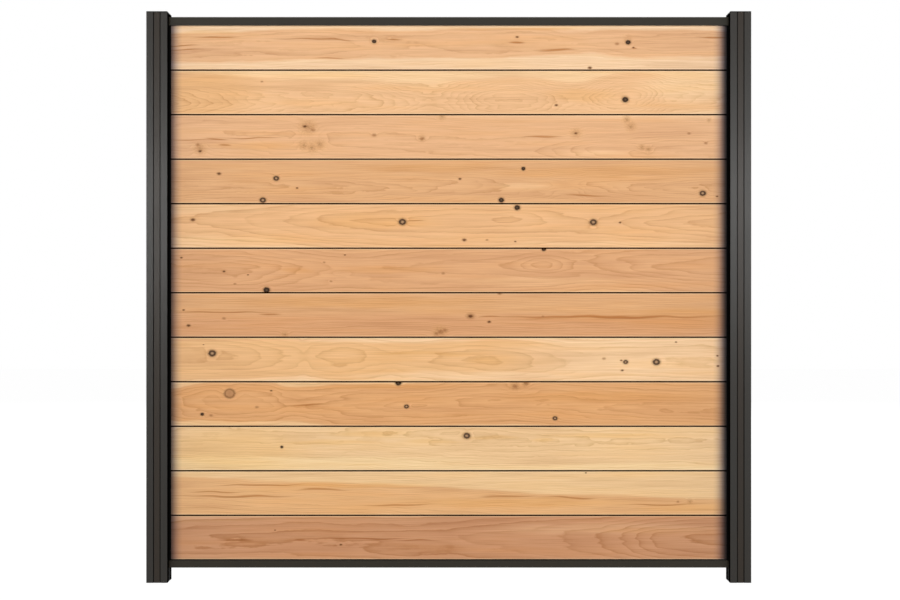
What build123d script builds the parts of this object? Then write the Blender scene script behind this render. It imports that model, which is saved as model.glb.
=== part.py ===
from build123d import *
import os

# Horizontal board fence panel: two slotted aluminium posts, a top and a bottom rail between
# them, and tongue-and-groove softwood boards stacked from rail to rail. Millimetres.
# X runs along the fence, Y from the front to the back, Z up.
# The origin is on the ground, midway between the posts and at the middle of their depth.

# Whole panel
clear_opening = 1800.0  # between the facing sides of the two posts
board_count = 12
ground_gap = 44.2  # from the ground to the underside of the bottom rail
post_above_rail = 11.0  # post that stands above the top rail, without its cap

# Boards
board_face = 139.2  # front face of one board, between its two shoulders
board_reveal = 4.0  # gap that shows in front between one board and the next
board_thickness = 17.5
tongue_thickness = 5.5
tongue_height = 8.0
tongue_tip_radius = 1.0
groove_side_clearance = 0.25
groove_end_clearance = 1.0
front_edge_radius = 1.2
rear_edge_radius = 0.8
board_end_clearance = 2.5  # from the end of a board to the bottom of the post's slot

# Rails
bottom_rail_height = 23.0  # up to its front edge, without the tongue
top_rail_height = 25.4  # above the top board's shoulders, without the lips
rail_wall = 1.6
rail_lip_drop = 1.6  # how far the top rail's lips hang over the faces of the top board
rail_side_clearance = 0.25  # from the rail to each side of the slot
rail_end_clearance = 1.0
rail_corner_radius = 0.8
board_lip_clearance = 0.2  # between a lip of the top rail and the board behind it

# Posts
post_size = 68.0
post_corner_radius = 1.6
post_wall = 1.8
slot_depth = 17.0
slot_mouth_radius = 0.8
core_wall = 2.0
screw_port_radius = 2.1
screw_port_wall = 1.6
screw_port_offset = 2.2  # from the core's outer corner to the port's centre, along X and along Y

# Cover strips in the slots that hold no boards
strip_wall = 1.4
strip_groove = 1.65  # dark line that shows at each side of a strip
strip_recess = 0.6  # from the post's face in to the strip's face
strip_shoulder_depth = 4.0  # from the post's face in to the strip's shoulders
strip_leg_depth = 10.0  # from the post's face in to the ends of the strip's legs
strip_side_clearance = 0.15

# Wedge gaskets between the boards and the sides of the slot
gasket_gap = 2.0  # between a board's face and the side of the slot
gasket_clearance = 0.1
gasket_insert = 8.0  # depth that the gasket reaches into the slot
gasket_show = 6.8  # width of gasket that shows beside the post
gasket_bead = 3.4  # thickness of the bead where it leans on the post
gasket_edge = 0.9  # thickness of the bead at its free edge
gasket_bulge = 0.4  # how far the bead's face bows out between those two
gasket_end_clearance = 0.3

# Post caps
cap_thickness = 3.0
cap_edge_chamfer = 0.8
cap_plug_length = 15.0
cap_plug_wall = 2.0
cap_plug_clearance = 0.2

# Spacers that carry the bottom rail in the slots
spacer_side_clearance = 0.25
spacer_slot_clearance = 0.3  # from the spacer to the bottom of the slot
spacer_mouth_setback = 0.7  # from the spacer to the post's side face
spacer_wall = 2.5

# Pan head screws through the rear of the posts into the rails
screw_radius = 2.4
screw_hole_clearance = 0.3
rail_hole_clearance = 0.1
hole_overrun = 1.0  # how far a drilled hole runs on past its wall
screw_reach = 7.0  # length of screw inside the rail, past the slot's side
screw_tip = 2.4
screw_head_radius = 4.6
screw_head_height = 2.6
screw_crown = 1.6  # height that the head domes above its own rim
recess_length = 4.6
recess_width = 1.1
recess_depth = 1.4
screw_above_tongue = 6.2  # from the roof of the top rail's groove up to its screws

# Worked-out sizes
board_pitch = board_face + board_reveal
slot_width = board_thickness + 2 * gasket_gap
rail_depth = slot_width - 2 * rail_side_clearance
rail_length = clear_opening + 2 * (slot_depth - rail_end_clearance)
board_length = clear_opening + 2 * (slot_depth - board_end_clearance)
groove_width = tongue_thickness + 2 * groove_side_clearance
groove_height = tongue_height + groove_end_clearance
rail_front_top = ground_gap + bottom_rail_height
stack_base = rail_front_top + board_reveal
stack_top = stack_base + board_count * board_pitch
rail_top = stack_top + top_rail_height
post_length = rail_top + post_above_rail
post_centre = (clear_opening + post_size) / 2
core_outer = post_size - 2 * slot_depth
core_cavity = core_outer - 2 * core_wall
cell_inner = slot_width / 2 + post_wall
cell_outer = post_size / 2 - post_wall
cell_size = cell_outer - cell_inner
screw_port_centre = core_outer / 2 + screw_port_offset
screw_x = (clear_opening + slot_depth) / 2
bottom_screw_z = ground_gap + bottom_rail_height / 2
top_screw_z = stack_top + groove_height + rail_wall + screw_above_tongue

touching = 0.001  # points nearer than this are one point
sides = (("left", -1), ("right", 1))
os.makedirs("parts", exist_ok=True)


def save(part, name):
    part.label = name
    export_step(part, f"parts/{name}.step")


# Boards: full thickness between their shoulders, with a groove below and a tongue above. The
# rear shoulders touch, and the front ones stay apart by the reveal. board_01 is the top one.
for number in range(1, board_count + 1):
    base = stack_top - number * board_pitch
    top = base + board_pitch
    front, rear = -board_thickness / 2, board_thickness / 2
    tongue, groove = tongue_thickness / 2, groove_width / 2
    with BuildPart() as board:
        with BuildSketch(Plane.YZ.offset(-board_length / 2)) as profile:
            with BuildLine():
                Polyline(
                    (front, base),
                    (-groove, base),
                    (-groove, base + groove_height),
                    (groove, base + groove_height),
                    (groove, base),
                    (rear, base),
                    (rear, top),
                    (tongue, top),
                    (tongue, top + tongue_height),
                    (-tongue, top + tongue_height),
                    (-tongue, base + board_face),
                    (front, base + board_face),
                    close=True,
                )
            make_face()
            fillet(profile.vertices().group_by(Axis.X)[0], front_edge_radius)
            fillet(profile.vertices().group_by(Axis.X)[-1], rear_edge_radius)
            fillet(profile.vertices().group_by(Axis.Y)[-1], tongue_tip_radius)
        extrude(amount=board_length)
    save(board.part, f"board_{number:02d}")


# Rail screws go through these holes, one at each end of a rail
def rail_holes(height):
    for _, direction in sides:
        with Locations(Plane((direction * screw_x, rail_depth / 2, height), z_dir=(0, 1, 0))):
            Hole(screw_radius + rail_hole_clearance, depth=rail_wall + hole_overrun)


# Bottom rail: a hollow section with a raised tongue that fits the lowest board's groove
with BuildPart() as bottom_rail:
    with BuildSketch(Plane.YZ.offset(-rail_length / 2)) as bottom_section:
        half_depth, half_tongue = rail_depth / 2, tongue_thickness / 2
        with BuildLine():
            Polyline(
                (-half_depth, ground_gap),
                (half_depth, ground_gap),
                (half_depth, stack_base),
                (half_tongue, stack_base),
                (half_tongue, stack_base + tongue_height),
                (-half_tongue, stack_base + tongue_height),
                (-half_tongue, rail_front_top),
                (-half_depth, rail_front_top),
                close=True,
            )
        make_face()
        offset(amount=-rail_wall, kind=Kind.INTERSECTION, mode=Mode.SUBTRACT)
        outer_corners = bottom_section.vertices().group_by(Axis.X)
        fillet(outer_corners[0] + outer_corners[-1], rail_corner_radius)
    extrude(amount=rail_length)
    rail_holes(bottom_screw_z)
save(bottom_rail.part, "bottom_rail")

# Top rail: a hollow section with a groove for the highest board's tongue, and two lips that
# hang over the board's faces
with BuildPart() as top_rail:
    with BuildSketch(Plane.YZ.offset(-rail_length / 2)) as top_section:
        half_depth, half_groove = rail_depth / 2, groove_width / 2
        lip_inside = board_thickness / 2 + board_lip_clearance
        groove_roof = stack_top + groove_height
        with BuildLine():
            Polyline(
                (-half_depth, stack_top - rail_lip_drop),
                (-lip_inside, stack_top - rail_lip_drop),
                (-lip_inside, stack_top),
                (-half_groove, stack_top),
                (-half_groove, groove_roof),
                (half_groove, groove_roof),
                (half_groove, stack_top),
                (lip_inside, stack_top),
                (lip_inside, stack_top - rail_lip_drop),
                (half_depth, stack_top - rail_lip_drop),
                (half_depth, rail_top),
                (-half_depth, rail_top),
                close=True,
            )
        make_face()
        fillet(top_section.vertices().group_by(Axis.Y)[-1], rail_corner_radius)
        cavity_side, cavity_groove = half_depth - rail_wall, half_groove + rail_wall
        with BuildLine():
            Polyline(
                (-cavity_side, stack_top + rail_wall),
                (-cavity_groove, stack_top + rail_wall),
                (-cavity_groove, groove_roof + rail_wall),
                (cavity_groove, groove_roof + rail_wall),
                (cavity_groove, stack_top + rail_wall),
                (cavity_side, stack_top + rail_wall),
                (cavity_side, rail_top - rail_wall),
                (-cavity_side, rail_top - rail_wall),
                close=True,
            )
        make_face(mode=Mode.SUBTRACT)
    extrude(amount=rail_length)
    rail_holes(top_screw_z)
save(top_rail.part, "top_rail")

# Posts: a square core tube inside a square skin, with a slot in the middle of each side and
# a closed cell in each corner. Round ports in the cells take the screws of a ground base.
for side, direction in sides:
    post_hole_depth = (post_size - slot_width) / 2 + hole_overrun
    with BuildPart() as post:
        with BuildSketch(Plane((direction * post_centre, 0, 0))) as section:
            RectangleRounded(post_size, post_size, post_corner_radius)
            with PolarLocations(post_size / 2 - slot_depth / 2, 4):
                Rectangle(slot_depth, slot_width, mode=Mode.SUBTRACT)
            reach = (post_size**2 + slot_width**2) ** 0.5 / 2  # from the centre to a slot's mouth
            mouths = section.vertices().filter_by(
                lambda corner: abs((corner.X**2 + corner.Y**2) ** 0.5 - reach) < touching
            )
            fillet(mouths, slot_mouth_radius)
            with GridLocations(cell_inner + cell_outer, cell_inner + cell_outer, 2, 2):
                Rectangle(cell_size, cell_size, mode=Mode.SUBTRACT)
            Rectangle(core_outer, core_outer)
            Rectangle(core_cavity, core_cavity, mode=Mode.SUBTRACT)
            with GridLocations(2 * screw_port_centre, 2 * screw_port_centre, 2, 2):
                Circle(screw_port_radius + screw_port_wall)
                Circle(screw_port_radius, mode=Mode.SUBTRACT)
        extrude(amount=post_length)
        for height in (bottom_screw_z, top_screw_z):
            with Locations(Plane((direction * screw_x, post_size / 2, height), z_dir=(0, 1, 0))):
                Hole(screw_radius + screw_hole_clearance, depth=post_hole_depth)
    save(post.part, f"{side}_post")


# Cover strips: thin channels with a shoulder each side. The face fills the slot's mouth apart
# from a dark line at each side, and the legs grip the sides of the slot.
for side, direction in sides:
    for place, turn in (("front", 0), ("rear", 180), ("outer", direction * 90)):
        face_half = slot_width / 2 - strip_groove
        leg_outer = slot_width / 2 - strip_side_clearance
        surface = -post_size / 2 + strip_recess
        shoulder = -post_size / 2 + strip_shoulder_depth
        leg_end = -post_size / 2 + strip_leg_depth
        with BuildPart() as strip:
            with BuildSketch(Plane((direction * post_centre, 0, 0)).rotated((0, 0, turn))):
                with BuildLine():
                    Polyline(
                        (0, surface),
                        (face_half, surface),
                        (face_half, shoulder),
                        (leg_outer, shoulder),
                        (leg_outer, leg_end),
                        (leg_outer - strip_wall, leg_end),
                        (leg_outer - strip_wall, shoulder + strip_wall),
                        (face_half - strip_wall, shoulder + strip_wall),
                        (face_half - strip_wall, surface + strip_wall),
                        (0, surface + strip_wall),
                    )
                    mirror(about=Plane.YZ)
                make_face()
            extrude(amount=post_length)
        save(strip.part, f"{side}_{place}_strip")

# Wedge gaskets: pushed into the slot before and behind the boards, with a bead that shows
for side, direction in sides:
    for place, face in (("front", -1), ("rear", 1)):
        start = rail_front_top if place == "front" else stack_base
        length = stack_top - rail_lip_drop - start - 2 * gasket_end_clearance
        with BuildPart() as gasket:
            with BuildSketch(Plane.XY.offset(start + gasket_end_clearance)):
                mouth = direction * clear_opening / 2
                board_surface = face * board_thickness / 2
                inner = board_surface + face * gasket_clearance
                outer = board_surface + face * (gasket_gap - gasket_clearance)
                shoulder = mouth - direction * gasket_clearance
                crest = board_surface + face * gasket_bead
                rim = board_surface + face * gasket_edge
                free_edge = mouth - direction * gasket_show
                with BuildLine():
                    Polyline(
                        (free_edge, rim),
                        (free_edge, inner),
                        (mouth + direction * gasket_insert, inner),
                        (mouth + direction * gasket_insert, outer),
                        (shoulder, outer),
                        (shoulder, crest),
                    )
                    ThreePointArc(
                        (shoulder, crest),
                        ((shoulder + free_edge) / 2, (crest + rim) / 2 + face * gasket_bulge),
                        (free_edge, rim),
                    )
                make_face()
            extrude(amount=length)
        save(gasket.part, f"{side}_{place}_gasket")

# Spacers: moulded blocks, open below, that stand in the slots and carry the bottom rail
for side, direction in sides:
    near = clear_opening / 2 + spacer_mouth_setback
    far = clear_opening / 2 + slot_depth - spacer_slot_clearance
    with BuildPart() as spacer:
        with BuildSketch(Plane((direction * (near + far) / 2, 0, 0))):
            Rectangle(far - near, slot_width - 2 * spacer_side_clearance)
        extrude(amount=ground_gap)
        underside = spacer.faces().sort_by(Axis.Z)[0]
        offset(amount=-spacer_wall, openings=underside)
    save(spacer.part, f"{side}_rail_spacer")

# Caps: a flat plate the size of the post, on a square plug that fits the core tube
for side, direction in sides:
    with BuildPart() as cap:
        with BuildSketch(Plane((direction * post_centre, 0, post_length))):
            RectangleRounded(post_size, post_size, post_corner_radius)
        extrude(amount=cap_thickness)
        chamfer(cap.faces().sort_by(Axis.Z)[-1].edges(), cap_edge_chamfer)
        plug = core_cavity - 2 * cap_plug_clearance
        with BuildSketch(Plane((direction * post_centre, 0, post_length))):
            Rectangle(plug, plug)
            Rectangle(plug - 2 * cap_plug_wall, plug - 2 * cap_plug_wall, mode=Mode.SUBTRACT)
        extrude(amount=-cap_plug_length)
    save(cap.part, f"{side}_post_cap")

# Screws: domed pan heads with a cross recess, on the rear of the posts
for side, direction in sides:
    x = direction * screw_x
    seat = post_size / 2
    tip = slot_width / 2 - screw_reach
    crest = seat + screw_head_height
    with BuildPart() as screws:
        for height in (bottom_screw_z, top_screw_z):
            with BuildSketch(Plane((x, 0, height))):
                with BuildLine():
                    Polyline(
                        (0, crest),
                        (0, tip),
                        (screw_radius, tip + screw_tip),
                        (screw_radius, seat),
                        (screw_head_radius, seat),
                        (screw_head_radius, crest - screw_crown),
                    )
                    TangentArc(
                        (0, crest), (screw_head_radius, crest - screw_crown), tangent=(1, 0)
                    )
                make_face()
            revolve(axis=Axis((x, 0, height), (0, 1, 0)))
            with BuildSketch(Plane((x, crest, height), z_dir=(0, 1, 0))):
                Rectangle(recess_length, recess_width)
                Rectangle(recess_width, recess_length)
            extrude(amount=-recess_depth, mode=Mode.SUBTRACT)
    save(screws.part, f"{side}_rail_screws")
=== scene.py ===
"""A fence panel: tongued and grooved softwood boards between two slotted aluminium posts.

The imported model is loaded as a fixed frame. This script gives every piece its finish,
and sets up the floor, the lamps and the camera.
"""

import math

import bpy
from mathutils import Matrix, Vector


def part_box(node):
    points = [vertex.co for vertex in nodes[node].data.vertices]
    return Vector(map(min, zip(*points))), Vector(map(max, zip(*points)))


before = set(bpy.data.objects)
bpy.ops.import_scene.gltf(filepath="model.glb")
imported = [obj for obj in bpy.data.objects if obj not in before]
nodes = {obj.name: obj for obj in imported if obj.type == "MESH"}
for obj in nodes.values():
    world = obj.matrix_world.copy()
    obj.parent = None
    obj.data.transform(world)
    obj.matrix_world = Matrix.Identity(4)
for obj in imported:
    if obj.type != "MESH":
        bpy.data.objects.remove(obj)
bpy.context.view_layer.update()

# Sizes in millimetres. All but the joint gap and the slot depth are read from the frame.
metre = 1000
board_low, board_high = (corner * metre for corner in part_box("board_01"))
post_low, post_high = (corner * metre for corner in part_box("right_post"))
board_face = board_low.y
board_thickness = board_high.y - board_low.y
half_length = board_high.x
board_pitch = (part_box("board_01")[0].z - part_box("board_02")[0].z) * metre
joint_gap = 4.0
face_height = board_pitch - joint_gap
clear_half = post_low.x
post_middle = (post_low.x + post_high.x) / 2
post_half = post_high.y
strip_low, strip_high = (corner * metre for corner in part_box("right_front_strip"))
strip_half = (strip_high.x - strip_low.x) / 2
slot_depth = 17.0
rubber_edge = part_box("right_front_gasket")[0].x * metre


def linear(code, alpha=1.0):
    """The linear colour of an sRGB hex value."""
    shares = [int(code[i : i + 2], 16) / 255 for i in (1, 3, 5)]
    curve = [s / 12.92 if s <= 0.04045 else ((s + 0.055) / 1.055) ** 2.4 for s in shares]
    return (*curve, alpha)


def add(tree, kind, inputs, stops=None, **settings):
    """Adds one node with its settings. Each input gets a value, or a link from a node or socket."""
    node = tree.nodes.new("ShaderNode" + kind)
    for name, value in settings.items():
        setattr(node, name, value)
    for key, value in inputs.items():
        source = value.outputs[0] if isinstance(value, bpy.types.Node) else value
        if isinstance(source, bpy.types.NodeSocket):
            tree.links.new(source, node.inputs[key])
        else:
            node.inputs[key].default_value = source
    if stops:
        marks = node.color_ramp.elements
        marks.remove(marks[1])
        marks[0].position, marks[0].color = stops[0]
        for position, colour in stops[1:]:
            marks.new(position).color = colour
    return node


def start_material(name):
    """A new material, its node tree, and the place on the object in millimetres."""
    material = bpy.data.materials.new(name)
    material.use_nodes = True
    tree = material.node_tree
    tree.nodes.clear()
    spot = add(tree, "TexCoord", {})
    place = add(
        tree,
        "VectorMath",
        {0: spot.outputs["Object"], "Scale": metre},
        operation="SCALE",
    )
    return material, tree, place


def end_material(tree, colour, roughness, relief, depth, **sockets):
    """Closes a material with its colour, roughness and relief. The depth is in millimetres."""
    bump = add(tree, "Bump", {"Height": relief, "Distance": depth / metre, "Strength": 1.0})
    surface = {"Base Color": colour, "Roughness": roughness, "Normal": bump}
    surface.update(sockets)
    shader = add(tree, "BsdfPrincipled", surface)
    add(tree, "OutputMaterial", {"Surface": shader})


def stretched_noise(tree, place, grain, detail=2.0, roughness=0.5):
    """Noise whose blobs are as long, deep and high as the three sizes in millimetres."""
    scaled = add(
        tree,
        "Mapping",
        {"Vector": place, "Scale": [1 / size for size in grain]},
        vector_type="POINT",
    )
    return add(
        tree,
        "TexNoise",
        {"Vector": scaled, "Scale": 1.0, "Detail": detail, "Roughness": roughness},
    )


def nearest_mark(tree, place, marks):
    """How far a place is from the nearest mark, counted in that mark's own half sizes."""
    # Marks reach right through a board
    half_depth = 1e6
    nearest = None
    for x, height, half_width, half_height in marks:
        away = add(
            tree,
            "Mapping",
            {
                "Vector": place,
                "Location": (x, 0, height),
                "Scale": (half_width, half_depth, half_height),
            },
            vector_type="TEXTURE",
        )
        length = add(tree, "VectorMath", {0: away}, operation="LENGTH").outputs["Value"]
        if nearest is not None:
            length = add(tree, "Math", {0: nearest, 1: length}, operation="MINIMUM").outputs[0]
        nearest = length
    return nearest


# Knots by kind: how far they push the rings aside in mm, how long they are for their height,
# how ragged they are, and their colours from the centre out. Each colour has its distance from
# the centre in knot radii and how much it covers. Soft kinds come first, so that a crisp knot
# lies on top of them.
knot_reach = 3.0
knot_kinds = {
    "spike": dict(
        push=5.0,
        length=1.1,
        ragged=2.0,
        colours=[
            (0.0, "#996A3E", 0.68),
            (0.35, "#AC7B4A", 0.48),
            (0.8, "#BF8C57", 0.4),
            (1.3, "#CC9A66", 0.2),
            (1.7, "#D6A36C", 0.0),
        ],
    ),
    "brown": dict(
        push=2.5,
        length=1.5,
        ragged=0.8,
        colours=[(0.0, "#8E5A34", 0.75), (0.7, "#A36D42", 0.55), (1.5, "#B98459", 0.0)],
    ),
    "knot": dict(
        push=10.0,
        length=1.15,
        ragged=0.4,
        colours=[
            (0.0, "#9C6D45", 0.75),
            (0.6, "#A67750", 0.7),
            (0.82, "#6E4729", 0.8),
            (1.0, "#855B39", 0.6),
            (1.25, "#B5825A", 0.0),
        ],
    ),
    "pin": dict(
        push=2.0,
        length=1.6,
        ragged=0.5,
        colours=[
            (0.0, "#44240F", 0.95),
            (0.5, "#6A3D1E", 0.88),
            (0.9, "#A87448", 0.35),
            (1.3, "#B9865A", 0.0),
        ],
    ),
    "eye": dict(
        push=6.0,
        length=1.2,
        ragged=0.4,
        colours=[
            (0.0, "#B08D6C", 0.95),
            (0.3, "#9C7856", 0.95),
            (0.52, "#36241A", 0.95),
            (0.86, "#3A271B", 0.94),
            (1.08, "#8E5F38", 0.5),
            (1.6, "#C28F5C", 0.0),
        ],
    ),
    "dark": dict(
        push=5.0,
        length=1.15,
        ragged=0.5,
        colours=[
            (0.0, "#5A452F", 0.97),
            (0.4, "#2A1B0F", 0.98),
            (0.8, "#22140A", 0.97),
            (1.05, "#8A5A36", 0.5),
            (1.6, "#B98755", 0.0),
        ],
    ),
}

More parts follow.
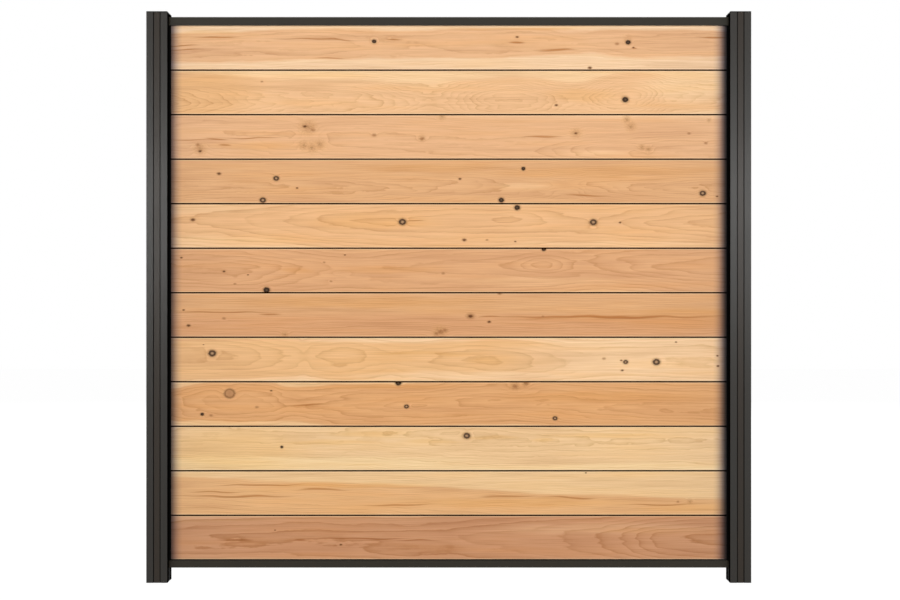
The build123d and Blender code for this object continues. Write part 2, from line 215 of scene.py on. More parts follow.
# The twelve boards from the top down. Lengths are in mm: x from the panel's middle, and heights
# from the middle of the board's face.
# heart: points of the log's centre line, each (x, height, depth behind the face).
# ring: width of a year's growth, wider than in most boards so that it shows. sap: radius beyond
# which the wood is pale sapwood, and fade: how softly it turns. curl: how far the rings wander
# over a short length. figure: strength of the ring lines. knots: (kind, x, height, radius).
# streaks of resin, ochre bands and pale bands: (x, height, half length, half height). swirls: the
# same, then the push on the rings.
boards = [
    dict(
        wood="#E6B78B",
        sapwood="#F1CEA7",
        sap=100,
        fade=5,
        ring=4.2,
        curl=1.5,
        figure=0.6,
        heart=[
            (-916, 0, 88), (-720, 0, 88), (-420, 11, 89), (-12, 22, 89), (300, 15, 92),
            (416, 9, 93), (583, 16, 88), (892, 7, 89),
        ],
        knots=[
            ("dark", -240, 21, 6.5), ("pin", 220, 35, 3.9), ("dark", 577, 18, 7.6),
            ("brown", 541, 13, 4.5), ("pin", 454, -64, 5.2), ("pin", 594, 1, 3.2),
        ],
        streaks=[
            (-745, 31, 84, 2.6), (-411, 27, 142, 2.6), (-850, 8, 56, 2.4), (-850, -6, 60, 2.4),
            (596, 1, 11, 3), (-385, -34, 55, 3), (345, -7, 71, 5), (218, 17, 26, 4.5),
            (856, 32, 58, 3), (-175, 27, 30, 2.4),
        ],
        ochre=[(-760, 47, 150, 8), (200, 63, 300, 6)],
        pale=[],
        swirls=[],
    ),
    dict(
        wood="#ECBF91",
        sapwood="#F4CFA1",
        sap=97,
        fade=14,
        ring=3.4,
        curl=2.3,
        figure=0.8,
        heart=[
            (-916, -28, 30), (-740, -28, 48), (-640, -28, 56), (-520, -26, 62), (-420, -26, 63),
            (-300, -26, 66), (-200, -28, 74), (-100, -28, 84), (-40, -28, 86), (20, -26, 80),
            (100, -26, 68), (200, -24, 58), (310, -24, 68), (400, -22, 78), (470, -18, 70),
            (568, -14, 54), (650, -10, 70), (700, -10, 80), (916, -18, 86),
        ],
        knots=[("dark", 568, -23, 9.3), ("pin", 346, -41, 4.5), ("brown", -601, 35, 2.9)],
        streaks=[],
        ochre=[(430, -8, 120, 20), (-790, 0, 190, 90)],
        pale=[(800, 22, 180, 60)],
        swirls=[],
    ),
    dict(
        wood="#E5B589",
        sapwood="#EEC397",
        sap=125,
        fade=20,
        ring=5,
        curl=3,
        figure=0.6,
        heart=[(-916, 12, 90), (-400, 2, 80), (250, -43, 78), (486, -49, 58), (916, -58, 40)],
        knots=[
            ("spike", -453, 32, 20), ("pin", -463, 34, 5.5), ("brown", -437, 22, 5.1),
            ("spike", -466, -28, 13), ("spike", -440, -34, 15), ("spike", -415, -24, 13),
            ("spike", -800, -38, 15), ("pin", -800, -46, 4.8), ("brown", -807, -25, 4.8),
            ("brown", -240, 6, 4.8), ("spike", -86, -5, 9), ("brown", -86, -6, 5),
            ("spike", -22, 65, 10), ("spike", 409, 12, 13), ("pin", 409, 12, 3.9),
            ("spike", 573, 56, 11), ("spike", 586, 34, 13), ("spike", 622, -34, 9),
            ("spike", 642, -40, 9), ("spike", 837, 54, 6), ("brown", 773, 11, 3.9),
            ("brown", 827, -20, 3.9),
        ],
        streaks=[
            (-749, -7, 40, 3.2), (-832, -11, 70, 2.3), (-623, -2, 96, 2.6), (-720, -26, 22, 4),
            (310, 1, 71, 4.8),
        ],
        ochre=[(-640, -28, 150, 14)],
        pale=[(470, -53, 110, 8)],
        swirls=[(-443, -2, 60, 46, 8)],
    ),
    dict(
        wood="#DFAE7F",
        sapwood="#E8BD8F",
        sap=110,
        fade=20,
        ring=3.6,
        curl=1.2,
        figure=0.7,
        heart=[
            (-916, -18, 30), (-200, -16, 40), (319, -15, 62), (380, -15, 66), (445, -15, 62),
            (916, -23, 35),
        ],
        knots=[
            ("pin", -739, 25, 5.8), ("eye", -555, 10, 8), ("pin", -488, -21, 3.2),
            ("eye", -598, -60, 8.6), ("dark", 240, 41, 6.1), ("pin", 36, 8, 4.2),
            ("dark", 169, -60, 8.2), ("eye", 817, -38, 8.8), ("pin", 863, -48, 3.2),
        ],
        streaks=[(445, -45, 77, 3.2)],
        ochre=[(500, 32, 400, 18), (-60, 42, 260, 16)],
        pale=[(240, -15, 90, 12)],
        swirls=[],
    ),
    dict(
        wood="#E9B988",
        sapwood="#F0C798",
        sap=112,
        fade=14,
        ring=8,
        curl=2,
        figure=0.75,
        heart=[
            (-916, 20, 100), (-655, 19, 88), (-504, 22, 80), (-388, 13, 72), (-150, 13, 56),
            (300, 12, 66), (465, 12, 70), (589, 13, 60), (916, 7, 40),
        ],
        knots=[
            ("dark", 220, 59, 8.6), ("eye", -149, 13, 10.2), ("eye", 465, 12, 9.8),
            ("pin", 551, 11, 3.5), ("pin", -823, 20, 6.4), ("pin", 50, -45, 5.8),
            ("brown", 123, -45, 2.9), ("pin", 214, -50, 2.9),
        ],
        streaks=[(-109, 14, 34, 1.9)],
        ochre=[(-250, 12, 220, 26)],
        pale=[(-800, 54, 240, 16), (-780, -48, 260, 22), (500, -58, 420, 8)],
        swirls=[(210, 24, 100, 24, -9)],
    ),
    dict(
        wood="#DCA97C",
        sapwood="#E4B486",
        sap=108,
        fade=16,
        ring=8,
        curl=2.4,
        figure=0.75,
        heart=[
            (-916, 2, 52), (-864, 2, 58), (-700, 2, 50), (-585, 0, 62), (-443, -2, 76),
            (-340, -8, 84), (-200, -8, 80), (150, 12, 72), (303, 21, 64), (412, 21, 72),
            (486, 32, 70), (702, 18, 56), (916, 12, 44),
        ],
        knots=[
            ("dark", -586, -63, 9.6), ("pin", -723, -3, 3.9), ("pin", -646, -14, 2.6),
            ("pin", -860, 41, 3.5), ("brown", -688, -43, 3.2), ("pin", -334, 50, 2.9),
            ("dark", 306, 68, 6.4), ("brown", -18, -9, 3.9), ("brown", -379, -35, 2.9),
            ("brown", -401, 26, 2.9),
        ],
        streaks=[],
        ochre=[(-200, 2, 200, 14), (-490, -2, 60, 10)],
        pale=[(300, -38, 260, 20)],
        swirls=[(303, 21, 95, 30, -18), (-346, -8, 50, 12, 8)],
    ),
    dict(
        wood="#D8A376",
        sapwood="#DDAC7D",
        sap=99,
        fade=34,
        ring=5,
        curl=2,
        figure=0.7,
        heart=[(-916, -89, 44), (-300, -87, 40), (300, -91, 38), (916, -93, 40)],
        knots=[
            ("brown", 70, -4, 9.6), ("pin", 70, -4, 6.8), ("pin", 130, -22, 5.1),
            ("brown", -12, -49, 6.5), ("brown", -26, -54, 7), ("brown", -40, -60, 5.5),
            ("spike", -28, -55, 18), ("pin", -837, -34, 5.5), ("pin", -853, 16, 3.5),
            ("brown", -723, -11, 4.2), ("brown", 164, 69, 4.8), ("brown", 303, -5, 3.2),
            ("spike", -527, -63, 9),
        ],
        streaks=[(530, -6, 400, 4.4), (-720, 10, 154, 3), (-575, 3, 39, 4.2), (133, -6, 45, 2.9)],
        ochre=[(-300, 41, 500, 20), (560, -11, 420, 12), (740, -10, 240, 40)],
        pale=[],
        swirls=[],
    ),
    dict(
        wood="#E9BB87",
        sapwood="#F2CFA5",
        sap=98,
        fade=16,
        ring=8,
        curl=2.2,
        figure=0.65,
        heart=[
            (-916, 11, 50), (-640, 11, 58), (-488, 8, 76), (-465, 8, 78), (-443, 8, 74),
            (-350, 8, 60), (-250, 8, 74), (-150, 4, 82), (85, -4, 60), (240, -8, 68), (358, -8, 78),
            (500, -8, 84), (916, -11, 80),
        ],
        knots=[
            ("eye", -761, 20, 10.5), ("pin", -789, 48, 1.9), ("eye", 668, -8, 10),
            ("eye", 569, -8, 6.6), ("pin", 555, -3, 3.2), ("pin", 558, -35, 3.9),
            ("pin", 731, 56, 2.9), ("pin", 864, 12, 3.2), ("pin", 866, -21, 3.9),
            ("brown", 499, 3, 3.9),
        ],
        streaks=[],
        ochre=[(165, -3, 110, 20), (310, -5, 60, 16), (-60, 21, 200, 8)],
        pale=[(620, -7, 430, 90), (120, -54, 420, 18), (-200, 63, 300, 10)],
        swirls=[],
    ),
    dict(
        wood="#DEA975",
        sapwood="#EEC898",
        sap=96,
        fade=10,
        ring=6.5,
        curl=3,
        figure=0.75,
        heart=[
            (-916, 1, 84), (-848, -3, 76), (-700, 11, 60), (-560, 1, 70), (-527, 1, 76),
            (-446, 0, 76), (-300, -4, 64), (-136, -8, 66), (150, 16, 48), (250, 22, 46),
            (500, -12, 50), (916, -20, 40),
        ],
        knots=[
            ("knot", -705, 34, 15.4), ("dark", -793, -33, 5.2), ("brown", -765, -37, 4.2),
            ("pin", -571, 43, 3.2), ("brown", -617, -10, 3.9), ("dark", -162, 68, 9),
            ("eye", -136, -8, 6.6), ("eye", 342, -46, 6.8), ("spike", 212, 58, 15),
            ("brown", 214, 56, 6.5), ("brown", 250, 66, 5.5), ("spike", 246, 64, 10),
        ],
        streaks=[(-462, -2, 71, 3.5)],
        ochre=[(-200, 56, 260, 10), (500, 21, 360, 20)],
        pale=[(-700, -61, 260, 8)],
        swirls=[(-136, -8, 110, 22, -9), (230, 41, 90, 36, 12)],
    ),
    dict(
        wood="#ECC99A",
        sapwood="#F1D3A3",
        sap=105,
        fade=18,
        ring=4.6,
        curl=4,
        figure=0.7,
        heart=[(-916, 41, 70), (-375, 47, 74), (-200, 47, 60), (300, 21, 64), (916, 31, 70)],
        knots=[("eye", 58, 41, 9.4), ("dark", -537, 5, 4.4)],
        streaks=[],
        ochre=[
            (-700, -5, 260, 80), (-740, 21, 120, 12), (-420, 19, 200, 8), (-250, 45, 140, 10),
            (-60, 21, 100, 7), (140, 37, 90, 6), (303, 27, 40, 7), (480, 41, 200, 8),
        ],
        pale=[(-300, -39, 400, 16)],
        swirls=[],
    ),
    dict(
        wood="#E4B582",
        sapwood="#ECC999",
        sap=150,
        fade=14,
        ring=5,
        curl=2.5,
        figure=0.7,
        heart=[(-916, -85, 45), (-640, -97, 45), (-12, -127, 45), (293, -142, 45), (916, -163, 45)],
        knots=[("pin", 441, 65, 2.6), ("brown", 737, -28, 3.2), ("spike", 776, -27, 8)],
        streaks=[
            (-600, 26, 150, 2.6), (-408, 9, 84, 4), (-678, -11, 199, 3.6), (-752, 4, 96, 2.6),
            (-157, -38, 129, 2.2), (190, -9, 90, 3.4), (413, -16, 80, 3), (679, -35, 129, 2.2),
        ],
        ochre=[(-300, 25, 280, 9), (200, -29, 420, 16), (760, -47, 160, 14)],
        pale=[],
        swirls=[],
    ),
    dict(
        wood="#C8956F",
        sapwood="#D2A47D",
        sap=126,
        fade=20,
        ring=9,
        curl=1.6,
        figure=1,
        heart=[
            (-916, -10, 112), (0, -10, 104), (94, -11, 99), (332, -11, 90), (486, -11, 81),
            (567, -11, 72), (618, -11, 63), (673, -11, 54), (792, -11, 45), (916, -11, 40),
        ],
        knots=[("pin", -559, 24, 2.6), ("pin", -347, -23, 3.9)],
        streaks=[
            (-690, -8, 56, 3.6), (-478, -6, 24, 3), (-221, -4, 90, 2.3), (-110, -10, 70, 2.6),
            (-300, -2, 120, 1.8),
        ],
        ochre=[],
        pale=[(500, 30, 400, 20)],
        swirls=[],
    ),
]

# How far the rings wander over a board's length, and in their smallest waves
long_wander = 12.0
fine_wander = 1.0
# The wander adds about this much to their radius
mean_wander = 15.0


def growth_rings(tree, local, log, board):
    """Distance from the log's centre line, pushed about as real rings are, in millimetres."""
    # The ramp stores the centre line's height and depth as shares of this span
    heart_span = 400.0
    parts = add(tree, "SeparateXYZ", {0: local})
    along = add(
        tree,
        "MapRange",
        {"Value": parts.outputs["X"], "From Min": -half_length, "From Max": half_length},
    )
    stops = [
        (
            (x + half_length) / (2 * half_length),
            (height / heart_span + 0.5, depth / heart_span, 0, 1),
        )
        for x, height, depth in board["heart"]
    ]
    line = add(tree, "ValToRGB", {"Fac": along}, stops=stops)
    line.color_ramp.interpolation = "B_SPLINE"
    centre = add(tree, "SeparateColor", {0: line})
    height = add(
        tree,
        "Math",
        {0: centre.outputs["Red"], 1: -heart_span, 2: heart_span / 2},
        operation="MULTIPLY_ADD",
    )
    rise = add(tree, "Math", {0: parts.outputs["Z"], 1: height}, operation="ADD")
    depth = add(
        tree,
        "Math",
        {0: centre.outputs["Green"], 1: heart_span, 2: parts.outputs["Y"]},
        operation="MULTIPLY_ADD",
    )
    across = add(tree, "CombineXYZ", {"X": rise, "Y": depth})
    radius = add(tree, "VectorMath", {0: across}, operation="LENGTH").outputs["Value"]
    wander = [
        ((420, 70, 45), long_wander),
        ((70, 40, 24), board["curl"]),
        ((24, 20, 7), fine_wander),
    ]
    for grain, push in wander:
        noise = stretched_noise(tree, log, grain)
        radius = add(
            tree,
            "Math",
            {0: noise.outputs[0], 1: 2 * push, 2: radius},
            operation="MULTIPLY_ADD",
        ).outputs[0]
    for x, height, half_width, half_height, push in board["swirls"]:
        away = nearest_mark(tree, local, [(x, height, half_width, half_height)])
        bulge = add(
            tree,
            "MapRange",
            {"Value": away, "From Max": 1.3, "To Min": push, "To Max": 0},
            interpolation_type="SMOOTHSTEP",
        )
        radius = add(tree, "Math", {0: radius, 1: bulge}, operation="ADD").outputs[0]
    return radius


def knots_in_rings(tree, local, log, board, radius):
    """The rings bent round the knots, and one layer of colour for each kind of knot."""
    ragged = stretched_noise(tree, log, (6, 6, 4))
    layers = []
    for kind, look in knot_kinds.items():
        marks = [(x, z, look["length"] * r, r) for k, x, z, r in board["knots"] if k == kind]
        if not marks:
            continue
        away = nearest_mark(tree, local, marks)
        bulge = add(
            tree,
            "MapRange",
            {"Value": away, "From Max": knot_reach, "To Min": look["push"], "To Max": 0},
            interpolation_type="SMOOTHSTEP",
        )
        radius = add(tree, "Math", {0: radius, 1: bulge}, operation="ADD").outputs[0]
        rough_away = add(
            tree,
            "Math",
            {0: ragged.outputs[0], 1: look["ragged"], 2: away},
            operation="MULTIPLY_ADD",
        )
        share = add(
            tree,
            "MapRange",
            {
                "Value": rough_away,
                "From Min": look["ragged"] / 2,
                "From Max": look["ragged"] / 2 + knot_reach,
            },
        )
        stops = [
            (at / knot_reach, linear(code, cover)) for at, code, cover in look["colours"]
        ]
        layers.append(add(tree, "ValToRGB", {"Fac": share}, stops=stops))
    return radius, layers


def year_lines(tree, radius, board):
    """Year rings: a slow change to the dark late wood and a quick end."""
    years = add(tree, "Math", {0: radius, 1: board["ring"]}, operation="DIVIDE")
    year = add(tree, "Math", {0: years}, operation="FLOOR")
    season = add(tree, "Math", {0: years}, operation="FRACT")
    year_strength = add(tree, "TexWhiteNoise", {"W": year}, noise_dimensions="1D")
    late_wood = add(
        tree,
        "ValToRGB",
        {"Fac": season},
        stops=[
            (0.0, (0, 0, 0, 1)),
            (0.35, (0.12, 0.12, 0.12, 1)),
            (0.7, (0.45, 0.45, 0.45, 1)),
            (0.88, (1, 1, 1, 1)),
            (0.97, (0, 0, 0, 1)),
        ],
    )
    strength = add(
        tree,
        "MapRange",
        {"Value": year_strength, "To Min": 0.3 * board["figure"], "To Max": board["figure"]},
    )
    return add(tree, "Math", {0: late_wood, 1: strength}, operation="MULTIPLY")


def bands_of_colour(tree, swayed, board, colour):
    """Long ochre bands, and long bands as pale as the sapwood."""
    for marks, tone in ((board["ochre"], "#FCF5E3"), (board["pale"], None)):
        if not marks:
            continue
        cover = add(
            tree,
            "MapRange",
            {
                "Value": nearest_mark(tree, swayed, marks),
                "From Min": 0.4,
                "From Max": 1.3,
                "To Min": 0.8,
                "To Max": 0,
            },
            interpolation_type="SMOOTHSTEP",
        )
        colour = add(
            tree,
            "MixRGB",
            {
                "Fac": cover,
                "Color1": colour,
                "Color2": linear(tone or board["sapwood"]),
            },
            blend_type="MULTIPLY" if tone else "MIX",
        )
    return colour


def resin_streaks(tree, swayed, fibres, board, colour):
    """Short dark streaks of resin that run with the fibres."""
    if not board["streaks"]:
        return colour
    away = nearest_mark(tree, swayed, board["streaks"])
    shake = add(
        tree,
        "Math",
        {0: fibres.outputs[0], 1: 1.2, 2: away},
        operation="MULTIPLY_ADD",
    )
    cover = add(
        tree,
        "MapRange",
        {"Value": shake, "From Min": 0.9, "From Max": 1.85, "To Min": 0.9, "To Max": 0},
        interpolation_type="SMOOTHSTEP",
    )
    return add(
        tree,
        "MixRGB",
        {"Fac": cover, "Color1": colour, "Color2": linear("#D2B896")},
        blend_type="MULTIPLY",
    )


def wood_colour(tree, local, log, board, radius, ring_lines, fibres):
    """Colour of the clean wood: heartwood and sapwood, slow patches, bands, rings and fibres."""
    sap_share = add(
        tree,
        "MapRange",
        {
            "Value": radius,
            "From Min": board["sap"] + mean_wander - board["fade"] / 2,
            "From Max": board["sap"] + mean_wander + board["fade"] / 2,
        },
        interpolation_type="SMOOTHSTEP",
    )
    colour = add(
        tree,
        "MixRGB",
        {
            "Fac": sap_share,
            "Color1": linear(board["wood"]),
            "Color2": linear(board["sapwood"]),
        },
    )
    patches = stretched_noise(tree, log, (520, 90, 30))
    patch_tint = add(
        tree,
        "ValToRGB",
        {"Fac": patches},
        stops=[
            (0.3, linear("#FFFAF0")),
            (0.5, linear("#FFFFFF")),
            (0.7, linear("#F4EFEC")),
        ],
    )
    fibre_tint = add(
        tree,
        "ValToRGB",
        {"Fac": fibres},
        stops=[(0.3, linear("#F0E9E1")), (0.6, linear("#FFFFFF"))],
    )

    # Bands and streaks sway with the grain
    sway = stretched_noise(tree, log, (150, 60, 60), detail=1.0)
    lift = add(tree, "MapRange", {"Value": sway, "To Min": -10, "To Max": 10})
    sideways = add(tree, "CombineXYZ", {"Z": lift})
    swayed = add(tree, "VectorMath", {0: local, 1: sideways}, operation="ADD")
    colour = bands_of_colour(tree, swayed, board, colour)
    for tint in (patch_tint, fibre_tint):
        colour = add(
            tree,
            "MixRGB",
            {"Fac": 1.0, "Color1": colour, "Color2": tint},
            blend_type="MULTIPLY",
        )
    colour = add(
        tree,
        "MixRGB",
        {"Fac": ring_lines, "Color1": colour, "Color2": linear("#DECFB8")},
        blend_type="MULTIPLY",
    )
    return resin_streaks(tree, swayed, fibres, board, colour)


def from_the_edge(tree, local):
    """How far it is to the edge of the face, and whether the place is in the rear half."""
    parts = add(tree, "SeparateXYZ", {0: local})
    behind = add(
        tree,
        "Math",
        {0: parts.outputs["Y"], 1: board_thickness / 2},
        operation="GREATER_THAN",
    )
    # The rear face reaches up to the next board
    rise = add(tree, "Math", {0: behind, 1: joint_gap / 2}, operation="MULTIPLY")
    height = add(tree, "Math", {0: parts.outputs["Z"], 1: rise}, operation="SUBTRACT")
    from_middle = add(tree, "Math", {0: height}, operation="ABSOLUTE")
    half_face = add(tree, "Math", {0: rise, 1: face_height / 2}, operation="ADD")
    to_edge = add(tree, "Math", {0: half_face, 1: from_middle}, operation="SUBTRACT")
    return to_edge, behind


def painted_joint_shade(tree, local, board, to_edge, behind):
    """Share of painted shade in the joint recess behind the eased edges, and along the closed rear
    joint.
    """
    parts = add(tree, "SeparateXYZ", {0: local})
    from_core = add(
        tree,
        "Math",
        {0: parts.outputs["Y"], 1: -board_thickness / 2},
        operation="ADD",
    )
    off_core = add(tree, "Math", {0: from_core}, operation="ABSOLUTE")
    deep_share = add(
        tree,
        "MapRange",
        {
            "Value": off_core,
            "From Min": board_thickness / 2 - 0.6,
            "From Max": board_thickness / 2 - 0.15,
            "To Min": 1.0,
            "To Max": 0.0,
        },
    )
    if board is boards[0]:
        # Under the rail the top edge gets no painted shade, so the recess there keeps the wood's
        # colour
        open_share = add(tree, "Math", {0: to_edge, 1: 2.0}, operation="GREATER_THAN")
        low_share = add(tree, "Math", {0: parts.outputs["Z"], 1: 0}, operation="LESS_THAN")
        bare_share = add(tree, "Math", {0: open_share, 1: low_share}, operation="MAXIMUM")
        deep_share = add(tree, "Math", {0: deep_share, 1: bare_share}, operation="MULTIPLY")

    # The closed joint on the rear is a hairline. Its painted shade is drawn 2 mm wide so that it
    # shows
    line_share = add(
        tree,
        "MapRange",
        {"Value": to_edge, "From Min": 1.4, "From Max": 0.6, "To Max": 0.95},
    )
    rear_share = add(tree, "Math", {0: line_share, 1: behind}, operation="MULTIPLY")
    return add(tree, "Math", {0: deep_share, 1: rear_share}, operation="MAXIMUM")


def painted_shade_by_rubber(tree, local):
    """Tint of the painted shade beside the black rubber, darker and bluer towards the rubber."""
    reach = 300.0
    # It lies this much further in at the right end, and this much less at the left
    lean = 4.0
    along = add(tree, "SeparateXYZ", {0: local}).outputs["X"]
    from_centre = add(tree, "Math", {0: along}, operation="ABSOLUTE")
    leaning = add(
        tree,
        "Math",
        {0: along, 1: lean / rubber_edge, 2: from_centre},
        operation="MULTIPLY_ADD",
    )
    nearness = add(
        tree,
        "MapRange",
        {"Value": leaning, "From Min": rubber_edge - reach, "From Max": rubber_edge},
    )
    return add(
        tree,
        "ValToRGB",
        {"Fac": nearness},
        stops=[
            (0.0, (1, 1, 1, 1)),
            (0.867, (0.95, 0.955, 0.975, 1)),
            (0.903, (0.82, 0.84, 0.91, 1)),
            (0.937, (0.6, 0.615, 0.75, 1)),
            (0.97, (0.28, 0.3, 0.44, 1)),
            (1.0, (0.045, 0.055, 0.1, 1)),
        ],
    )


def planed_softwood(name, board, middle):
    """Softwood, planed and oiled: a warm satin face with faint growth rings, fibres and knots."""
    material, tree, place = start_material(name)
    local = add(
        tree,
        "VectorMath",
        {0: place, 1: (0, board_face, middle)},
        operation="SUBTRACT",
    )
    # Each board comes from its own length of the log
    log_length = 3700
    log = add(
        tree,
        "VectorMath",
        {0: local, 1: (log_length * (1 + boards.index(board)), 0, 0)},
        operation="ADD",
    )
    radius = growth_rings(tree, local, log, board)
    radius, knot_layers = knots_in_rings(tree, local, log, board, radius)
    ring_lines = year_lines(tree, radius, board)
    # Real fibres are too fine to show, so bundles of them are drawn
    fibres = stretched_noise(tree, log, (160, 4, 2.2), detail=4)
    colour = wood_colour(tree, local, log, board, radius, ring_lines, fibres)

    # Eased edges get a painted highlight, knots lie over it, and the joints get painted shade
    to_edge, behind = from_the_edge(tree, local)
    edge_highlight_share = add(
        tree,
        "MapRange",
        {"Value": to_edge, "From Min": 4.5, "From Max": 1.5, "To Max": 0.35},
    )
    colour = add(
        tree,
        "MixRGB",
        {"Fac": edge_highlight_share, "Color1": colour, "Color2": linear("#F6D4AC")},
    )
    for layer in knot_layers:
        colour = add(
            tree,
            "MixRGB",
            {"Fac": layer.outputs["Alpha"], "Color1": colour, "Color2": layer},
        )
    # The joints get painted shade in dark brown
    joint_shade_share = painted_joint_shade(tree, local, board, to_edge, behind)
    colour = add(
        tree,
        "MixRGB",
        {"Fac": joint_shade_share, "Color1": colour, "Color2": linear("#1E0A00")},
    )
    # Painted shade darkens the wood towards the rubber at both ends of the board
    shade = painted_shade_by_rubber(tree, local)
    colour = add(
        tree,
        "MixRGB",
        {"Fac": 1.0, "Color1": colour, "Color2": shade},
        blend_type="MULTIPLY",
    )

    # Oil leaves a soft shine on the faces and none on the eased edges or in the joints
    roughness = add(tree, "MapRange", {"Value": fibres, "To Min": 0.5, "To Max": 0.68})
    eased_share = add(tree, "MapRange", {"Value": to_edge, "From Min": 3.0, "From Max": 1.4})
    dull_share = add(tree, "Math", {0: joint_shade_share, 1: eased_share}, operation="MAXIMUM")
    shine = add(tree, "MapRange", {"Value": dull_share, "To Min": 0.15, "To Max": 0.0})
    relief = add(
        tree,
        "Math",
        {0: ring_lines, 1: -0.5, 2: fibres.outputs[0]},
        operation="MULTIPLY_ADD",
    )
    end_material(tree, colour, roughness, relief, 0.12, **{"Specular IOR Level": shine})
    return material


def powder_coat(name, code, patch_code, gloss, on_post=True):
    """Powder coat on extruded aluminium: near black brown, satin, with a fine orange peel."""
    material, tree, place = start_material(name)
    peel = stretched_noise(tree, place, (1.6, 1.6, 1.6), detail=3)
    cloud = stretched_noise(tree, place, (140, 140, 300), detail=2)
    colour = add(
        tree,
        "MixRGB",
        {"Fac": cloud, "Color1": linear(code), "Color2": linear(patch_code)},
    )
    shine = gloss
    if on_post:
        parts = add(tree, "SeparateXYZ", {0: place})
        across = add(tree, "Math", {0: parts.outputs["X"]}, operation="ABSOLUTE")
        aside = add(tree, "Math", {0: across, 1: -post_middle}, operation="ADD")
        off_middle = add(tree, "Math", {0: parts.outputs["Y"]}, operation="ABSOLUTE")

        # The side that faces the boards, and its slot, get painted shade: near black and without
        # shine
        deep = add(
            tree,
            "MapRange",
            {
                "Value": across,
                "From Min": clear_half + slot_depth,
                "From Max": clear_half + slot_depth + 1,
            },
        )
        near_face = add(
            tree,
            "MapRange",
            {"Value": off_middle, "From Min": post_half - 2.2, "From Max": post_half - 0.8},
        )
        outside = add(
            tree,
            "MapRange",
            {"Value": across, "From Min": clear_half + 0.4, "From Max": clear_half + 1.2},
        )
        unshaded_share = add(tree, "Math", {0: near_face, 1: outside}, operation="MULTIPLY")
        unshaded_share = add(tree, "Math", {0: unshaded_share, 1: deep}, operation="MAXIMUM")

        # The joint beside a cover strip is under 2 mm wide. Its painted shade is drawn 3 mm wide,
        # so that it shows.
        outer_side = add(tree, "Math", {0: aside}, operation="ABSOLUTE")
        for place_across in (outer_side, off_middle):
            to_joint = add(tree, "Math", {0: place_across, 1: -strip_half}, operation="ADD")
            from_joint = add(tree, "Math", {0: to_joint}, operation="ABSOLUTE")
            out_of_joint_shade = add(
                tree,
                "MapRange",
                {"Value": from_joint, "From Min": 0.9, "From Max": 2.0, "To Min": 0.15},
            )
            unshaded_share = add(tree, "Math", {0: unshaded_share, 1: out_of_joint_shade}, operation="MULTIPLY")
        # Painted shade is near black
        colour = add(
            tree,
            "MixRGB",
            {"Fac": unshaded_share, "Color1": linear("#060504"), "Color2": colour},
        )
        shine = add(tree, "Math", {0: unshaded_share, 1: gloss}, operation="MULTIPLY")
    roughness = add(tree, "MapRange", {"Value": cloud, "To Min": 0.27, "To Max": 0.35})
    end_material(tree, colour, roughness, peel, 0.03, **{"Specular IOR Level": shine})
    return material


def moulded_plastic(name, code, grit, roughness_low, roughness_high):
    """Moulded polypropylene: dark and matt, with the fine grain of an eroded mould."""
    material, tree, place = start_material(name)
    # The grit is coarser than a real mould's, which is too fine to show
    grain = stretched_noise(tree, place, (grit, grit, grit), detail=3)
    colour = add(
        tree,
        "MixRGB",
        {"Fac": grain, "Color1": linear(code), "Color2": linear("#0E0E0D")},
    )
    roughness = add(
        tree,
        "MapRange",
        {"Value": grain, "To Min": roughness_low, "To Max": roughness_high},
    )
    end_material(tree, colour, roughness, grain, 0.05, **{"Specular IOR Level": 0.03})
    return material


def extruded_rubber(name):
    """Extruded EPDM rubber: almost black, dull, with faint draw lines along its length."""
    material, tree, place = start_material(name)
    # Real draw lines are too fine to show, so these are 0.8 mm wide
    draw_lines = stretched_noise(tree, place, (0.8, 0.8, 90), detail=2)
    colour = add(
        tree,
        "MixRGB",
        {"Fac": draw_lines, "Color1": linear("#010101"), "Color2": linear("#050505")},
    )
    roughness = add(tree, "MapRange", {"Value": draw_lines, "To Min": 0.75, "To Max": 0.9})
    end_material(tree, colour, roughness, draw_lines, 0.03, **{"Specular IOR Level": 0.04})
    return material


def coated_steel(name):
    """Zinc-flake coated steel: dark grey metal, dull, with a faint speckle."""
    material, tree, place = start_material(name)
    # Single flakes are too fine to show, so clusters of them are drawn
    flakes = stretched_noise(tree, place, (0.5, 0.5, 0.5), detail=3)
    colour = add(
        tree,
        "MixRGB",
        {"Fac": flakes, "Color1": linear("#4E4E50"), "Color2": linear("#6C6C6E")},
    )
    roughness = add(tree, "MapRange", {"Value": flakes, "To Min": 0.38, "To Max": 0.55})
    end_material(tree, colour, roughness, flakes, 0.02, Metallic=1.0)
    return material


def give(material, *names):
    """Puts a material on every slot of the named nodes."""
    for name in names:
        slots = nodes[name].data.materials
        slots.clear()
        slots.append(material)


for number, board in enumerate(boards, 1):
    name = f"board_{number:02d}"
    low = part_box(name)[0].z * metre
    give(planed_softwood(f"planed softwood {number:02d}", board, low + face_height / 2), name)

sides = ("left", "right")
post_coat = powder_coat("powder-coated post", "#26221D", "#23221F", 0.28)
strip_coat = powder_coat("powder-coated strip", "#271F16", "#231C14", 0.26)
rail_coat = powder_coat("powder-coated rail", "#2B271E", "#27231C", 0.18, on_post=False)
rubber = extruded_rubber("extruded EPDM rubber")
cap_plastic = moulded_plastic("moulded cap plastic", "#060606", 0.9, 0.5, 0.65)
spacer_plastic = moulded_plastic("moulded spacer plastic", "#141414", 1.4, 0.6, 0.75)
screw_steel = coated_steel("zinc-flake coated steel")
give(rail_coat, "top_rail", "bottom_rail")
for side in sides:
    give(post_coat, f"{side}_post")
    give(strip_coat, *(f"{side}_{place}_strip" for place in ("front", "rear", "outer")))
    give(rubber, f"{side}_front_gasket", f"{side}_rear_gasket")
    give(cap_plastic, f"{side}_post_cap")
    give(spacer_plastic, f"{side}_rail_spacer")
    give(screw_steel, f"{side}_rail_screws")


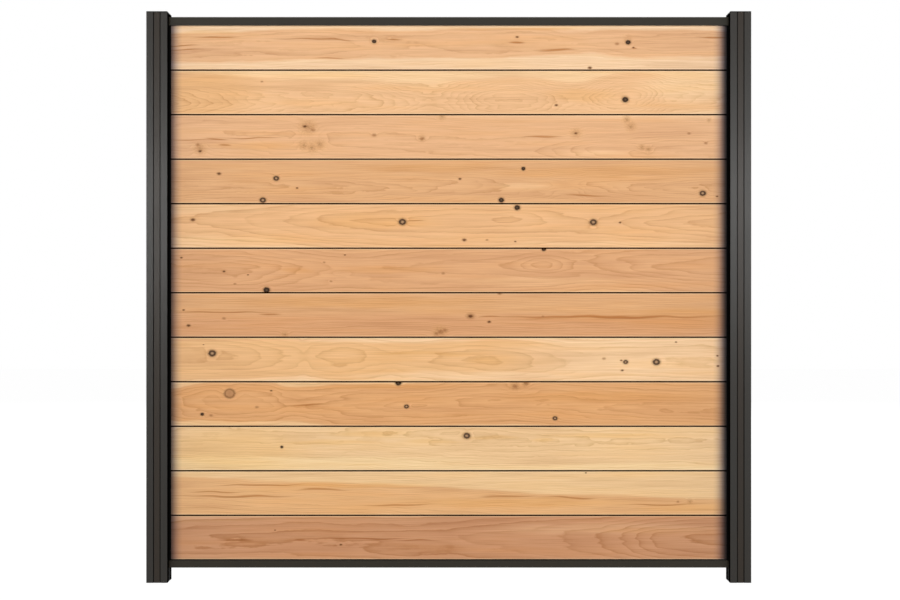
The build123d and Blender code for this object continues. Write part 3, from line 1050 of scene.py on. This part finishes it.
def seen_share(tree):
    """1 for rays from the camera, also by way of a mirror or glass, and 0 for bounced light."""
    ray = add(tree, "LightPath", {})
    seen = add(
        tree,
        "Math",
        {0: ray.outputs["Is Camera Ray"], 1: ray.outputs["Is Glossy Ray"]},
        operation="MAXIMUM",
    )
    return add(
        tree,
        "Math",
        {0: seen, 1: ray.outputs["Is Transmission Ray"]},
        operation="MAXIMUM",
    )


def pale_floor():
    """A plain white floor that fades into the background and keeps a faint shadow."""
    half = 14.0
    glow = 1.17
    glow_share = 0.8
    corners = [(-half, -half, 0), (half, -half, 0), (half, half, 0), (-half, half, 0)]
    mesh = bpy.data.meshes.new("floor")
    mesh.from_pydata(corners, [], [(0, 1, 2, 3)])
    floor = bpy.data.objects.new("floor", mesh)
    bpy.context.scene.collection.objects.link(floor)
    material = bpy.data.materials.new("white floor paint")
    material.use_nodes = True
    tree = material.node_tree
    tree.nodes.clear()
    paint = add(tree, "BsdfDiffuse", {"Color": (0.8, 0.8, 0.8, 1)})
    shine = add(tree, "Emission", {"Color": (1, 1, 1, 1), "Strength": glow})
    seen = seen_share(tree)
    share = add(tree, "Math", {0: seen, 1: glow_share}, operation="MULTIPLY")
    mixed = add(tree, "MixShader", {0: share, 1: paint, 2: shine})
    add(tree, "OutputMaterial", {"Surface": mixed})
    mesh.materials.append(material)


def white_world(light):
    """Plain light from all round, and a white background behind the object."""
    world = bpy.data.worlds.new("studio")
    bpy.context.scene.world = world
    world.use_nodes = True
    tree = world.node_tree
    tree.nodes.clear()
    strength = add(tree, "MapRange", {"Value": seen_share(tree), "To Min": light, "To Max": 1.0})
    background = add(tree, "Background", {"Color": (1, 1, 1, 1), "Strength": strength})
    add(tree, "OutputWorld", {"Surface": background})


def soft_box(name, place, aim, size, radiance):
    """A square of even light, as bright to look at as its radiance says."""
    lamp = bpy.data.lights.new(name, "AREA")
    lamp.shape = "RECTANGLE"
    lamp.size, lamp.size_y = size
    lamp.energy = radiance * math.pi * size[0] * size[1]
    holder = bpy.data.objects.new(name, lamp)
    holder.location = place
    holder.rotation_euler = (Vector(aim) - Vector(place)).to_track_quat("-Z", "Y").to_euler()
    holder.visible_camera = False
    bpy.context.scene.collection.objects.link(holder)


pale_floor()
white_world(0.33)
middle = (0, 0, 0.9)
soft_box("left side light", (-6.5, -5.2, 1.6), middle, (3.6, 3.6), 4.5)
soft_box("right side light", (6.5, -5.2, 1.6), middle, (3.6, 3.6), 5.7)
soft_box("front light", (0, -7.5, 5.2), middle, (3.0, 2.0), 3.8)
soft_box("rear light", (0, 7.0, 3.2), middle, (4.0, 3.0), 9.0)
for side, x in (("left", -1.9), ("right", 1.9)):
    soft_box(f"{side} post sheen", (x, -4.7, 1.5), (x / 2, 0, 1.1), (1.2, 0.5), 17.0)

camera = bpy.data.objects.new("camera", bpy.data.cameras.new("camera"))
camera.data.lens = 56.27
camera.data.sensor_width = 36.0
camera.location = (0.004, -4.534, 0.905)
camera.rotation_euler = (math.radians(90), 0, 0)
bpy.context.scene.collection.objects.link(camera)
bpy.context.scene.camera = camera
bpy.context.scene.view_settings.view_transform = "Standard"
